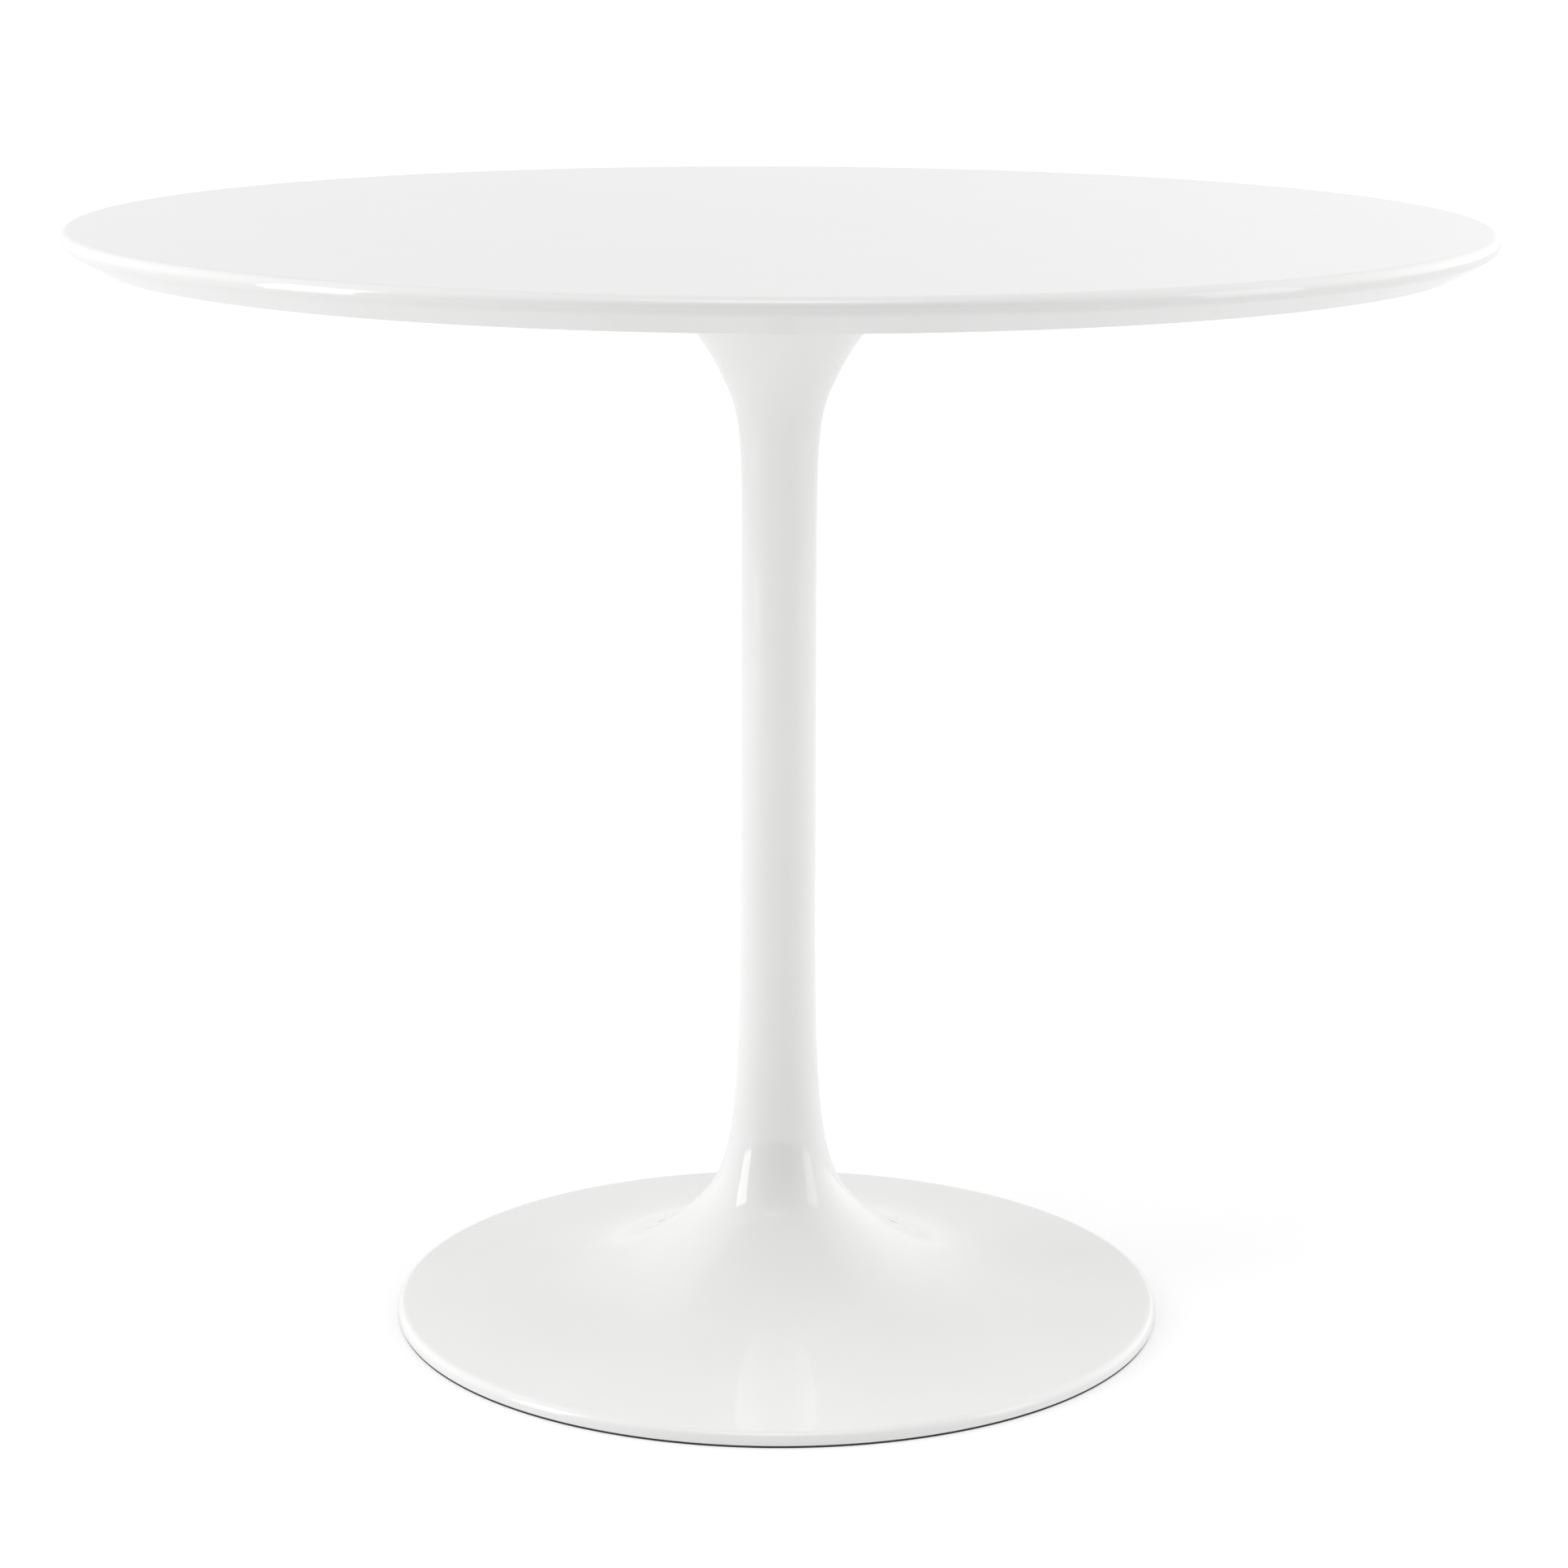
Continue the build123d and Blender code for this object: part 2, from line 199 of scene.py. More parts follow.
def arc(centre: Point, radius: float, start: float, end: float, steps: int) -> Profile:
    """Points along a circular arc of a section.

    Args:
        centre: the arc's centre, as radius and height.
        radius: the arc's radius.
        start: the first point's direction from the centre, in degrees from outward, turning up.
        end: the last point's direction.
        steps: how many chords the arc has.

    Returns:
        The points, both ends included.
    """
    angles = [math.radians(start + (end - start) * step / steps) for step in range(steps + 1)]
    return [(centre[0] + radius * math.cos(a), centre[1] + radius * math.sin(a)) for a in angles]


def bezier(points: Sequence[Vector], steps: int) -> Profile:
    """Points along a cubic curve, both ends included."""
    found = []
    for step in range(steps + 1):
        t = step / steps
        weights = ((1 - t) ** 3, 3 * t * (1 - t) ** 2, 3 * t * t * (1 - t), t**3)
        place = sum((point * weight for point, weight in zip(points, weights)), Vector((0, 0)))
        found.append((place.x, place.y))
    return found


def joined(*runs: Profile) -> Profile:
    """Runs of points end to end, with doubled points left out."""
    found: Profile = []
    for point in (point for run in runs for point in run):
        if not found or math.dist(point, found[-1]) > TOUCHING:
            found.append(point)
    return found


def spin(mesh: bmesh.types.BMesh, profile: Profile, segments: int, centre: Point = (0, 0),
         closed: bool = False, finish: int = 0) -> list[list[bmesh.types.BMVert]]:
    """Turns a section about an upright line and adds its skin to a mesh.

    Args:
        mesh: the mesh that grows.
        profile: the section, as radius and height; a point on the line becomes one vertex.
        segments: how many steps the turn has.
        centre: where the line stands, as x and y.
        closed: whether the section's last point joins its first.
        finish: the material index of the new faces.

    Returns:
        The rings of vertices, one for each point of the section.
    """
    turns = [2 * math.pi * step / segments for step in range(segments)]
    rings = []
    for radius, height in profile:
        if radius < TOUCHING:
            rings.append([mesh.verts.new((*centre, height))])
            continue
        places = [(centre[0] + radius * math.cos(a), centre[1] + radius * math.sin(a)) for a in turns]
        rings.append([mesh.verts.new((*place, height)) for place in places])
    pairs = list(zip(rings, rings[1:]))
    if closed:
        pairs.append((rings[-1], rings[0]))
    for first, second in pairs:
        for step in range(segments):
            after = (step + 1) % segments
            corners = [first[step % len(first)], first[after % len(first)]]
            corners += [second[after % len(second)], second[step % len(second)]]
            face = mesh.faces.new(list(dict.fromkeys(corners)))
            face.material_index = finish
    return rings


def as_piece(mesh: bmesh.types.BMesh, name: str, finishes: Sequence[bpy.types.Material],
             crease: float = 28.0) -> bpy.types.Object:
    """Makes an object of a mesh, smooth apart from its creases.

    Args:
        mesh: the finished mesh, which is used up.
        name: the object's name.
        finishes: its materials, in the order of the faces' indices.
        crease: the angle between faces, in degrees, from which an edge stays sharp.

    Returns:
        The object, linked to the scene.
    """
    bmesh.ops.recalc_face_normals(mesh, faces=mesh.faces)
    data = bpy.data.meshes.new(name)
    mesh.to_mesh(data)
    mesh.free()
    for finish in finishes:
        data.materials.append(finish)
    data.shade_smooth()
    data.set_sharp_from_angle(angle=math.radians(crease))
    piece = bpy.data.objects.new(name, data)
    bpy.context.scene.collection.objects.link(piece)
    return piece


# ---------------------------------------------------------------------------------------------------
# Finishes
# ---------------------------------------------------------------------------------------------------


@dataclass(frozen=True)
class GlossPaint:
    """Sprayed gloss paint, flatted and baked: faint orange peel, and faint unevenness of tone and gloss."""

    name: str
    colour: Colour
    ior: float = 1.58
    drift: float = 0.012
    cloud: float = 0.11
    peel: float = 0.0042
    peel_depth: float = 0.0000045
    dull: float = 0.055
    bright: float = 0.03
    speck: float = 0.0009
    speck_depth: float = 0.0000004

    def material(self) -> bpy.types.Material:
        """Builds the paint's material."""
        wiring = Wiring(self.name)
        tone = wiring.spread(wiring.noise(self.cloud, detail=3.0), 0, 1)
        wiring.feed(wiring.shader, "Base Color", wiring.tint(tone, *either_side(self.colour, self.drift)))
        gloss = wiring.noise(self.cloud / 3, detail=4.0)
        wiring.feed(wiring.shader, "Roughness", wiring.spread(gloss, self.bright, self.dull))
        wiring.feed(wiring.shader, "IOR", self.ior)
        peel = wiring.noise(self.peel, detail=1.5)
        speck = wiring.noise(self.speck, detail=1.0)
        wiring.relief([(peel, self.peel_depth), (speck, self.speck_depth)])
        return wiring.material


@dataclass(frozen=True)
class SatinPaint:
    """Thin satin paint on an unseen side: a fine spray texture and a soft sheen."""

    name: str
    colour: Colour
    drift: float = 0.03
    cloud: float = 0.045
    grain: float = 0.0012
    grain_depth: float = 0.000012
    roughness: float = 0.38
    roughness_drift: float = 0.06
    sheen_cloud: float = 0.02

    def material(self) -> bpy.types.Material:
        """Builds the paint's material."""
        wiring = Wiring(self.name)
        tone = wiring.spread(wiring.noise(self.cloud, detail=4.0), 0, 1)
        wiring.feed(wiring.shader, "Base Color", wiring.tint(tone, *either_side(self.colour, self.drift)))
        rough = wiring.spread(wiring.noise(self.sheen_cloud, detail=3.0),
                              self.roughness - self.roughness_drift, self.roughness + self.roughness_drift)
        wiring.feed(wiring.shader, "Roughness", rough)
        wiring.relief([(wiring.noise(self.grain), self.grain_depth)])
        return wiring.material


@dataclass(frozen=True)
class RawBoard:
    """Cut fibreboard: short pale brown fibres, quite rough."""

    name: str = "raw_board"
    pale: Colour = (0.42, 0.29, 0.17)
    dark: Colour = (0.26, 0.165, 0.09)
    fibre: float = 0.0007
    fibre_depth: float = 0.00012
    bright: float = 0.8
    dull: float = 0.95

    def material(self) -> bpy.types.Material:
        """Builds the board's material."""
        wiring = Wiring(self.name)
        fibre = wiring.noise(self.fibre, detail=5.0, stretch=(1, 1, 3))
        tone = wiring.tint(wiring.spread(fibre, 0, 1), self.dark, self.pale)
        wiring.feed(wiring.shader, "Base Color", tone)
        wiring.feed(wiring.shader, "Roughness", wiring.spread(fibre, self.bright, self.dull))
        wiring.relief([(fibre, self.fibre_depth)])
        return wiring.material


@dataclass(frozen=True)
class PlatedMetal:
    """Plated or bare metal: tone and gloss wander, fine scratches run across, and painted shade darkens the
    corners and recesses.
    """

    name: str
    colour: Colour
    shade: Colour
    roughness: float
    smoother: float = 0.07
    rougher: float = 0.09
    cloud: float = 0.006
    scratch: float = 0.0004
    scratch_depth: float = 0.000006
    shade_reach: float = 0.0012
    corner_shade_tone: float = 0.35

    def material(self) -> bpy.types.Material:
        """Builds the metal's material."""
        wiring = Wiring(self.name)
        cloud = wiring.spread(wiring.noise(self.cloud, detail=4.0), 0, 1)
        metal = wiring.tint(cloud, self.colour, self.shade)
        # Painted shade: an ambient occlusion test darkens the base colour in corners and recesses, towards
        # a darker copy of the metal's second colour.
        corner_occlusion = wiring.add("ShaderNodeAmbientOcclusion", {"samples": 4}, Distance=self.shade_reach)
        open_face = wiring.spread(corner_occlusion.outputs["AO"], 0, 1)
        painted_corner_shade = wiring.tint(open_face, shaded(self.shade, self.corner_shade_tone), self.colour)
        wiring.feed(wiring.shader, "Base Color", wiring.tint(0.5, metal, painted_corner_shade))
        wiring.feed(wiring.shader, "Metallic", 1.0)
        lines = wiring.noise(self.scratch, detail=3.0, stretch=(1, 9, 1))
        rough = wiring.spread(lines, self.roughness - self.smoother, self.roughness + self.rougher)
        wiring.feed(wiring.shader, "Roughness", rough)
        wiring.relief([(lines, self.scratch_depth)])
        return wiring.material


@dataclass(frozen=True)
class CastSurface:
    """Sand-cast iron under thin black paint: a pebbled skin, with rust showing through in patches."""

    name: str = "cast_iron_black"
    paint: Colour = (0.028, 0.028, 0.03)
    rust: Colour = (0.14, 0.065, 0.035)
    rusty: tuple[float, float] = (0.58, 0.72)
    patch: float = 0.018
    bright: float = 0.55
    dull: float = 0.8
    pebble: float = 0.0022
    pebble_depth: float = 0.00022

    def material(self) -> bpy.types.Material:
        """Builds the iron's material."""
        wiring = Wiring(self.name)
        patch = wiring.noise(self.patch, detail=5.0)
        worn = wiring.spread(patch, 0, 1, within=self.rusty)
        wiring.feed(wiring.shader, "Base Color", wiring.tint(worn, self.paint, self.rust))
        wiring.feed(wiring.shader, "Roughness", wiring.spread(patch, self.bright, self.dull))
        wiring.relief([(wiring.noise(self.pebble, detail=4.0), self.pebble_depth)])
        return wiring.material


@dataclass(frozen=True)
class Moulding:
    """Moulded rubber or plastic: a fine spark-eroded grain, with dust greying it a little in patches."""

    name: str
    colour: Colour
    dust: Colour
    roughness: float
    smoother: float = 0.06
    rougher: float = 0.08
    patch: float = 0.03
    dusty: tuple[float, float] = (0.45, 0.8)
    most_dust: float = 0.6
    grain: float = 0.0006
    grain_depth: float = 0.00003

    def material(self) -> bpy.types.Material:
        """Builds the moulding's material."""
        wiring = Wiring(self.name)
        patch = wiring.noise(self.patch, detail=5.0)
        dust = wiring.spread(patch, 0, self.most_dust, within=self.dusty)
        wiring.feed(wiring.shader, "Base Color", wiring.tint(dust, self.colour, self.dust))
        rough = wiring.spread(patch, self.roughness - self.smoother, self.roughness + self.rougher)
        wiring.feed(wiring.shader, "Roughness", rough)
        wiring.relief([(wiring.noise(self.grain), self.grain_depth)])
        return wiring.material


class Paint(Enum):
    """The table's finishes."""

    TOP_LACQUER = GlossPaint("top_lacquer_gloss", (0.735, 0.735, 0.73), drift=0.006, peel=0.009,
                             peel_depth=0.0000025)
    UNDERSIDE = SatinPaint("underside_lacquer", (0.77, 0.77, 0.76), drift=0.015)
    BOARD = RawBoard()
    ENAMEL = GlossPaint("pedestal_enamel_gloss", (0.795, 0.795, 0.79))
    PRIMER = SatinPaint("grey_primer", (0.26, 0.265, 0.27), roughness=0.62, grain_depth=0.00002)
    PLATE = SatinPaint("plate_powder_coat", (0.74, 0.74, 0.72), roughness=0.42, grain_depth=0.00002)
    ZINC = PlatedMetal("bright_zinc", (0.74, 0.75, 0.77), (0.56, 0.57, 0.6), 0.28)
    ZINC_ALLOY = PlatedMetal("zinc_alloy_cast", (0.6, 0.6, 0.6), (0.44, 0.44, 0.44), 0.42)
    BLACK_OXIDE = PlatedMetal("black_oxide_steel", (0.07, 0.07, 0.075), (0.035, 0.035, 0.04), 0.36)
    IRON = CastSurface()
    RUBBER = Moulding("floor_rubber_black", (0.012, 0.012, 0.012), (0.06, 0.058, 0.055), 0.7)
    COVER = Moulding("cover_plastic_black", (0.018, 0.018, 0.019), (0.05, 0.05, 0.048), 0.48)


class PaintShop:
    """Makes each finish once and hands out the same material after that."""

    def __init__(self) -> None:
        """Starts with no finish made."""
        self.made: dict[Paint, bpy.types.Material] = {}

    def material(self, paint: Paint) -> bpy.types.Material:
        """The material of one finish."""
        if paint not in self.made:
            self.made[paint] = paint.value.material()
        return self.made[paint]


# ---------------------------------------------------------------------------------------------------
# The table
# ---------------------------------------------------------------------------------------------------


@dataclass
class TopDisc:
    """The lacquered disc: flat above, soft nose, reverse bevel, and a satin underside with insert holes."""

    shop: PaintShop
    nose_radius: float = 6 * MM
    bevel_angle: float = 30.0
    bevel_ease: float = 2.5 * MM
    insert_count: int = 8
    insert_circle: float = 135 * MM
    flange_hole_radius: float = 6 * MM
    flange_hole_depth: float = 1 * MM
    hole_radius: float = 4.75 * MM
    hole_depth: float = 14 * MM
    segments: int = 320
    hole_segments: int = 32
    ease_steps: int = 6
    nose_steps: int = 28
    bevel_rings: tuple[float, ...] = (0.1, 0.3, 0.5, 0.7, 0.9, 0.97)
    face_rings: tuple[float, ...] = (0.999, 0.97, 0.85, 0.6, 0.3, 0.1, 0.0)

    def edge_profile(self) -> Profile:
        """The section from the underside's flat, round the bevel and the nose, to the top's centre."""
        low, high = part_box("table_top")
        radius = min(high.x - low.x, high.y - low.y) / 2
        lean = math.radians(self.bevel_angle)
        nose = (radius - self.nose_radius, high.z - self.nose_radius)
        start = self.bevel_angle - 90
        bevel_top = arc(nose, self.nose_radius, start, 90, self.nose_steps)[0]
        rise = bevel_top[1] - low.z
        run = rise / math.tan(lean)
        corner = bevel_top[0] - run
        ease_centre = (corner - self.bevel_ease * math.tan(lean / 2), low.z + self.bevel_ease)
        return joined(
            arc(ease_centre, self.bevel_ease, -90, start, self.ease_steps),
            [(corner + run * share, low.z + rise * share) for share in self.bevel_rings],
            arc(nose, self.nose_radius, start, 90, self.nose_steps),
            [(nose[0] * share, high.z) for share in self.face_rings],
        )

    def build(self) -> bpy.types.Object:
        """Makes the disc as one closed mesh and puts it in place of the CAD disc."""
        low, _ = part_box("table_top")
        step = low.z + self.flange_hole_depth
        roof = low.z + self.hole_depth
        hole = [(self.flange_hole_radius, low.z), (self.flange_hole_radius, step),
                (self.hole_radius, step), (self.hole_radius, roof), (0, roof)]
        mesh = bmesh.new()
        loops = [spin(mesh, self.edge_profile(), self.segments, finish=LACQUERED)[0]]
        for index in range(self.insert_count):
            turn = 2 * math.pi * (index + 0.5) / self.insert_count
            centre = (self.insert_circle * math.cos(turn), self.insert_circle * math.sin(turn))
            loops.append(spin(mesh, hole, self.hole_segments, centre, finish=CUT)[0])
        edges = [mesh.edges.get((loop[i - 1], loop[i])) for loop in loops for i in range(len(loop))]
        filled = bmesh.ops.triangle_fill(mesh, use_beauty=True, edges=edges)
        for face in (item for item in filled["geom"] if isinstance(item, bmesh.types.BMFace)):
            face.material_index = SATIN
        paints = (Paint.TOP_LACQUER, Paint.UNDERSIDE, Paint.BOARD)
        piece = as_piece(mesh, "lacquered_top", [self.shop.material(paint) for paint in paints])
        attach(piece, "root")
        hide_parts("table_top")
        return piece


@dataclass
class Station:
    """A place that the pedestal's outline passes.

    Attributes:
        radius: its distance from the axis.
        height: its height above the floor.
        slope: the way the outline runs there, in degrees: 0 is inward, 90 straight up, 180 outward.
        before: how far it holds that slope before it, as a share of the distance from the last place.
        after: the same after it, as a share of the distance to the next place.
    """

    radius: float
    height: float
    slope: float
    before: float = 0.0
    after: float = 0.0

    @property
    def place(self) -> Vector:
        """Where it is, as radius and height."""
        return Vector((self.radius, self.height))

    @property
    def heading(self) -> Vector:
        """The way the outline runs there."""
        return Vector((-math.cos(math.radians(self.slope)), math.sin(math.radians(self.slope))))

    @property
    def outward(self) -> Vector:
        """The outline's normal there, away from the metal."""
        return Vector((math.sin(math.radians(self.slope)), math.cos(math.radians(self.slope))))


@dataclass
class TrumpetPedestal:
    """The one-piece shell: wide shallow foot, slim stem, flared head. Enamel outside, primer inside."""

    shop: PaintShop
    wall: float = 2.5 * MM
    rim_round: float = 5.5 * MM
    rim_height: float = 10.5 * MM
    rim_slope: float = 3.0
    edge_round: float = 0.9 * MM
    lip_round: float = 1 * MM
    lip_radius: float = 120 * MM
    lip_flat: float = 7 * MM
    flare: tuple[float, float] = (62 * MM, 66.3 * MM)
    waist: tuple[float, float] = (24.9 * MM, 370 * MM)
    neck: tuple[float, float] = (39.2 * MM, 69.6 * MM)
    segments: int = 224
    outer_steps: tuple[int, ...] = (56, 44, 30, 32)
    inner_steps: tuple[int, ...] = (28, 24, 14, 16)
    edge_steps: int = 8
    rim_steps: int = 20
    lip_steps: int = 6
    foot: float = field(init=False)
    head: float = field(init=False)
    radius: float = field(init=False)
    rim_centre: Point = field(init=False)
    stations: list[Station] = field(init=False)

    def __post_init__(self) -> None:
        """Sets out the outline's places: the rim, the flare, the waist, the neck and the lip."""
        low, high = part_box("pedestal_shell")
        self.foot = low.z
        self.head = high.z
        self.radius = min(high.x - low.x, high.y - low.y) / 2
        self.rim_centre = (self.radius - self.rim_round, self.rim_height - self.rim_round)
        lean = math.radians(self.rim_slope)
        rim_top = (self.rim_centre[0] + self.rim_round * math.sin(lean),
                   self.rim_centre[1] + self.rim_round * math.cos(lean))
        neck_radius, neck_depth = self.neck
        self.stations = [
            Station(*rim_top, self.rim_slope, after=0.525),
            Station(*self.flare, slope=42, before=0.328, after=0.160),
            Station(*self.waist, slope=90, before=0.814, after=0.893),
            Station(neck_radius, self.head - neck_depth, slope=116, before=0.148, after=0.240),
            Station(self.lip_radius - self.lip_flat, self.head - self.wall, slope=180, before=0.300),
        ]

    def trumpet(self, inset: float, steps: Sequence[int]) -> Profile:
        """The outline from the rim to the lip.

        Args:
            inset: how far it lies inside the metal.
            steps: how many chords each of its curves has.

        Returns:
            The outline's points.
        """
        runs = []
        for start, end, count in zip(self.stations, self.stations[1:], steps):
            span = (end.place - start.place).length
            first = start.place - start.outward * inset
            last = end.place - end.outward * inset
            leaving = first + start.heading * span * start.after
            coming = last - end.heading * span * end.before
            runs.append(bezier((first, leaving, coming, last), count))
        return joined(*runs)

    def build(self) -> bpy.types.Object:
        """Makes the shell as one closed mesh and puts it in place of the CAD shell."""
        side = 90 - self.rim_slope
        inner_radius = self.radius - self.wall
        edge = (self.radius - self.edge_round, self.foot + self.edge_round)
        lip = (self.lip_radius - self.lip_round, self.head - self.wall + self.lip_round)
        outside = joined(
            [(inner_radius, self.foot)],
            arc(edge, self.edge_round, -90, 0, self.edge_steps),
            arc(self.rim_centre, self.rim_round, 0, side, self.rim_steps),
            self.trumpet(0, self.outer_steps),
            arc(lip, self.lip_round, -90, 0, self.lip_steps),
            [(self.lip_radius, self.head)],
        )
        inner_rim = arc(self.rim_centre, self.rim_round - self.wall, side, 0, self.edge_steps)
        inside = joined(self.trumpet(self.wall, self.inner_steps)[::-1], inner_rim)
        mesh = bmesh.new()
        outer_rings = spin(mesh, outside, self.segments, finish=OUTSIDE)
        inner_rings = spin(mesh, inside, self.segments, finish=INSIDE)
        for first, second in ((outer_rings[-1], inner_rings[0]), (inner_rings[-1], outer_rings[0])):
            for step in range(self.segments):
                after = (step + 1) % self.segments
                face = mesh.faces.new((first[step], first[after], second[after], second[step]))
                face.material_index = INSIDE
        finishes = [self.shop.material(Paint.ENAMEL), self.shop.material(Paint.PRIMER)]
        piece = as_piece(mesh, "trumpet_pedestal", finishes)
        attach(piece, "root")
        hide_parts("pedestal_shell")
        return piece


@dataclass
class FloorRing:
    """The black rubber edging under the pedestal's rim, with its corners eased."""

    shop: PaintShop
    foot_width: float = 8 * MM
    foot_height: float = 1.4 * MM
    leg_inset: float = 1.8 * MM
    leg_width: float = 3.5 * MM
    ease: float = 0.35 * MM
    ease_steps: int = 4
    segments: int = 224

    def build(self) -> bpy.types.Object:
        """Makes the ring as one closed mesh and puts it in place of the CAD ring."""
        low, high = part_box("floor_ring")
        outer = min(high.x - low.x, high.y - low.y) / 2
        inner = outer - self.foot_width
        leg_out = outer - self.leg_inset
        leg_in = leg_out - self.leg_width
        step = low.z + self.foot_height
        ease, steps = self.ease, self.ease_steps
        profile = joined(
            arc((inner + ease, low.z + ease), ease, 180, 270, steps),
            arc((outer - ease, low.z + ease), ease, -90, 0, steps),
            [(outer, step), (leg_out, step)],
            arc((leg_out - ease, high.z - ease), ease, 0, 90, steps),
            arc((leg_in + ease, high.z - ease), ease, 90, 180, steps),
            [(leg_in, step), (inner, step)],
        )
        mesh = bmesh.new()
        spin(mesh, profile, self.segments, closed=True)
        piece = as_piece(mesh, "rubber_floor_ring", [self.shop.material(Paint.RUBBER)])
        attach(piece, "root")
        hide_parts("floor_ring")
        return piece


@dataclass
class Hardware:
    """The fixings and inner pieces, whose CAD shapes stay and take their real finish."""

    shop: PaintShop
    finishes: dict[str, Paint] = field(default_factory=lambda: {
        "top_inserts": Paint.ZINC_ALLOY,
        "mounting_plate": Paint.PLATE,
        "plate_screws": Paint.ZINC,
        "plate_spring_washers": Paint.ZINC,
        "plate_flat_washers": Paint.ZINC,
        "locating_ring": Paint.PLATE,
        "rod_boss": Paint.PLATE,
        "seat_ring": Paint.PRIMER,
        "base_weight": Paint.IRON,
        "tie_rod": Paint.ZINC,
        "rod_lock_nut": Paint.ZINC,
        "rod_nut": Paint.ZINC,
        "rod_spring_washer": Paint.ZINC,
        "rod_flat_washer": Paint.ZINC,
        "bottom_cover": Paint.COVER,
        "cover_screws": Paint.BLACK_OXIDE,
    })

    def dress(self) -> list[bpy.types.Object]:
        """Gives each CAD piece its finish and returns them."""
        dressed = []
        for name, paint in self.finishes.items():
            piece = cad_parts[name]
            for slot in piece.material_slots:
                slot.material = self.shop.material(paint)
            dressed.append(piece)
        return dressed


# ---------------------------------------------------------------------------------------------------
# The studio
# ---------------------------------------------------------------------------------------------------


@dataclass(frozen=True)
class Glow:
    """A soft bright part of the room.

    Attributes:
        towards: its middle, as a direction from the table.
        tightness: how quickly it fades away from the middle.
        radiance: how bright its middle is.
        hug: how closely it keeps to the horizon; 0 is not at all.
    """

    towards: tuple[float, float, float]
    tightness: float
    radiance: float
    hug: float = 0.0


@dataclass(frozen=True)
class SoftBox:
    """A big soft lamp that faces the table.

    Attributes:
        name: its name.
        place: where it stands, in metres.
        aim: the point it faces.
        width: its width.
        height: its height.
        radiance: how bright its face is.
    """

    name: str
    place: tuple[float, float, float]
    aim: tuple[float, float, float]
    width: float
    height: float
    radiance: float

    def build(self) -> None:
        """Hangs the lamp."""
        data = bpy.data.lights.new(self.name, "AREA")
        data.shape = "RECTANGLE"
        data.size = self.width
        data.size_y = self.height
        data.energy = self.radiance * math.pi * self.width * self.height
        lamp = bpy.data.objects.new(self.name, data)
        lamp.location = self.place
        lamp.rotation_euler = (Vector(self.aim) - Vector(self.place)).to_track_quat("-Z", "Y").to_euler()
        lamp.visible_camera = False
        bpy.context.scene.collection.objects.link(lamp)


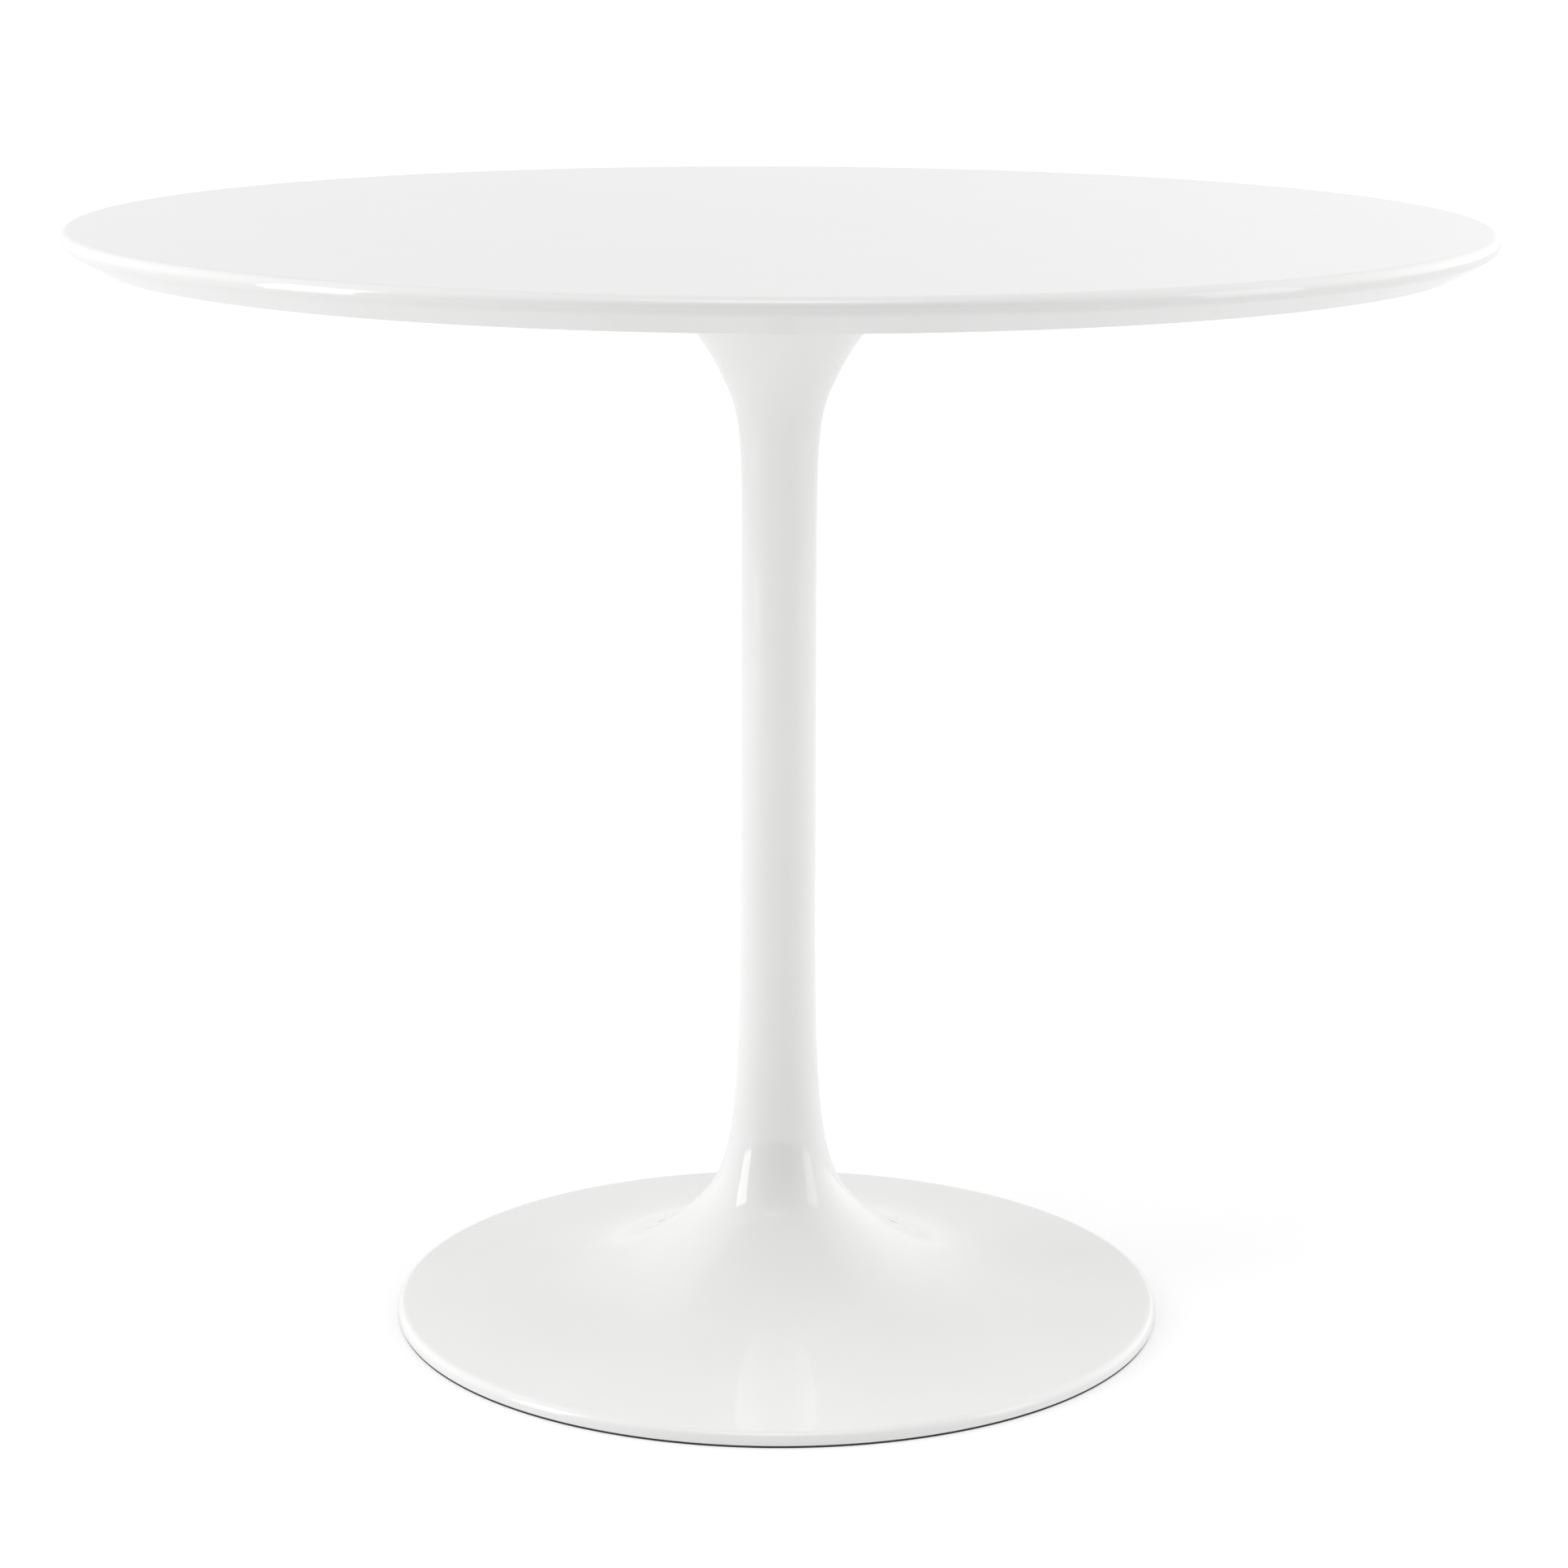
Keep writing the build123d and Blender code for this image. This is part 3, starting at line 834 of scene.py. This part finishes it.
@dataclass
class Studio:
    """A white room: a wide pale floor with a glow of its own, soft light all round, and lamps.

    Attributes:
        floor_rings: the radii of the floor's rings, the last of them its edge.
        floor_segments: how many sides its rings have.
        floor_colour: how pale the floor is.
        floor_drift: how much its tone wanders.
        floor_cloud: how far apart its paler patches lie.
        floor_roughness: how matt it is.
        floor_glow: how bright its glow is near the table and far from it.
        floor_glow_span: the distances from the table at which it is so.
        floor_bounce: the share of the glow that lights the table; the camera sees all of it.
        base_radiance: how bright the room is where nothing is brighter.
        glows: the room's brighter parts.
        boxes: its lamps.
    """

    floor_rings: tuple[float, ...] = (0.0, 1.0, 4.0, 40.0)
    floor_segments: int = 64
    floor_colour: Colour = (0.6, 0.6, 0.6)
    floor_drift: float = 0.005
    floor_cloud: float = 1.5
    floor_roughness: float = 0.9
    floor_glow: tuple[float, float] = (0.38, 0.44)
    floor_glow_span: tuple[float, float] = (1.2, 5.0)
    floor_bounce: float = 0.75
    base_radiance: float = 0.28
    glows: tuple[Glow, ...] = (
        Glow((-1, 0, 0.3), 3, 0.5),
        Glow((1, 0, 0.3), 3, 1.05),
        Glow((-1, 0, 1), 3, 1.2),
        Glow((1, 0, 1), 3, 0.65),
        Glow((-1, 1, 0.3), 6, 0.6),
        Glow((1, 1, 0.3), 6, 1.0),
        Glow((0, 1, 0.2), 2, 0.18),
        Glow((0, 1, 0), 1, 0.58, hug=3),
        Glow((0, -0.35, 1), 30, 3.4),
    )
    boxes: tuple[SoftBox, ...] = (
        SoftBox("left_box", (-2.6, -0.9, 1.1), (0, 0, 0.5), 0.9, 2.0, 3.1),
        SoftBox("right_box", (2.6, -0.9, 1.1), (0, 0, 0.5), 0.9, 2.0, 1.25),
    )

    def floor_material(self) -> bpy.types.Material:
        """Builds the floor's material, which is clear from below."""
        wiring = Wiring("studio_floor")
        tone = wiring.spread(wiring.noise(self.floor_cloud), 0, 1)
        pale = wiring.tint(tone, *either_side(self.floor_colour, self.floor_drift))
        wiring.feed(wiring.shader, "Base Color", pale)
        wiring.feed(wiring.shader, "Roughness", self.floor_roughness)
        wiring.feed(wiring.shader, "Specular IOR Level", 0.0)
        wiring.feed(wiring.shader, "Emission Color", (1, 1, 1, 1))
        away = wiring.add("ShaderNodeVectorMath", {"operation": "LENGTH"}, Vector=wiring.place)
        glow = wiring.spread(away.outputs["Value"], *self.floor_glow, within=self.floor_glow_span)
        seen = wiring.add("ShaderNodeLightPath").outputs["Is Camera Ray"]
        share = wiring.spread(seen, self.floor_bounce, 1.0, within=(0, 1))
        wiring.feed(wiring.shader, "Emission Strength", wiring.maths("MULTIPLY", glow, share))
        wiring.material.cycles.emission_sampling = "NONE"
        below = wiring.add("ShaderNodeNewGeometry").outputs["Backfacing"]
        clear = wiring.add("ShaderNodeBsdfTransparent").outputs["BSDF"]
        either = wiring.add("ShaderNodeMixShader", Fac=below)
        for index, side in enumerate((wiring.shader.outputs["BSDF"], clear), start=1):
            wiring.feed(either, index, side)
        wiring.feed(wiring.output, "Surface", either.outputs["Shader"])
        return wiring.material

    def build_floor(self) -> None:
        """Lays the floor."""
        mesh = bmesh.new()
        spin(mesh, [(radius, 0) for radius in self.floor_rings], self.floor_segments)
        floor = as_piece(mesh, "studio_floor", [self.floor_material()])
        if floor.data.polygons[0].normal.z < 0:
            floor.data.flip_normals()

    def build_room(self) -> None:
        """Lights the room: an even white with brighter parts."""
        world = bpy.data.worlds.new("white_room")
        bpy.context.scene.world = world
        world.use_nodes = True
        nodes = Nodes(world.node_tree)
        towards = nodes.add("ShaderNodeTexCoord").outputs["Generated"]
        height = nodes.add("ShaderNodeSeparateXYZ", Vector=towards).outputs["Z"]
        lowness = nodes.maths("SUBTRACT", 1.0, height)
        total: object = self.base_radiance
        for glow in self.glows:
            facing = nodes.add("ShaderNodeVectorMath", {"operation": "DOT_PRODUCT"})
            nodes.feed(facing, 0, towards)
            nodes.feed(facing, 1, Vector(glow.towards).normalized())
            near = nodes.maths("MAXIMUM", facing.outputs["Value"], 0.0)
            lobe = nodes.maths("POWER", near, glow.tightness)
            if glow.hug:
                lobe = nodes.maths("MULTIPLY", lobe, nodes.maths("POWER", lowness, glow.hug))
            total = nodes.maths("MULTIPLY_ADD", lobe, glow.radiance, total)
        light = nodes.add("ShaderNodeBackground", Strength=total)
        nodes.add("ShaderNodeOutputWorld", Surface=light.outputs["Background"])

    def build(self) -> None:
        """Sets up the floor, the room's light and the lamps."""
        self.build_floor()
        self.build_room()
        for box in self.boxes:
            box.build()
        bpy.context.scene.view_settings.view_transform = "Standard"


@dataclass
class Camera:
    """The camera in front of the table, looking a little down on it. Turns are in radians."""

    distance: float = 2.614
    height: float = 0.971
    pitch: float = 0.2279
    roll: float = 0.0038
    pan: float = 0.0014
    lens: float = 92.84
    sensor: float = 36.0
    reach: float = 200.0

    def build(self) -> None:
        """Places the camera and makes it the scene's own."""
        level = math.cos(self.pitch)
        forward = Vector((math.sin(self.pan) * level, math.cos(self.pan) * level, -math.sin(self.pitch)))
        right = Vector((math.cos(self.pan), -math.sin(self.pan), 0))
        up = right.cross(forward)
        rolled_right = right * math.cos(self.roll) + up * math.sin(self.roll)
        rolled_up = up * math.cos(self.roll) - right * math.sin(self.roll)
        data = bpy.data.cameras.new("front_camera")
        data.lens = self.lens
        data.sensor_width = self.sensor
        data.clip_end = self.reach
        camera = bpy.data.objects.new("front_camera", data)
        axes = Matrix((rolled_right, rolled_up, -forward)).transposed().to_4x4()
        camera.matrix_world = Matrix.Translation((0, -self.distance, self.height)) @ axes
        bpy.context.scene.collection.objects.link(camera)
        bpy.context.scene.camera = camera


def main() -> None:
    """Builds the table piece by piece, then the studio round it."""
    shop = PaintShop()
    made = [TopDisc(shop).build(), TrumpetPedestal(shop).build(), FloorRing(shop).build()]
    made += Hardware(shop).dress()
    for piece in made:
        log.info("%s: %d faces", piece.name, len(piece.data.polygons))
    Studio().build()
    Camera().build()


if __name__ == "__main__":
    main()
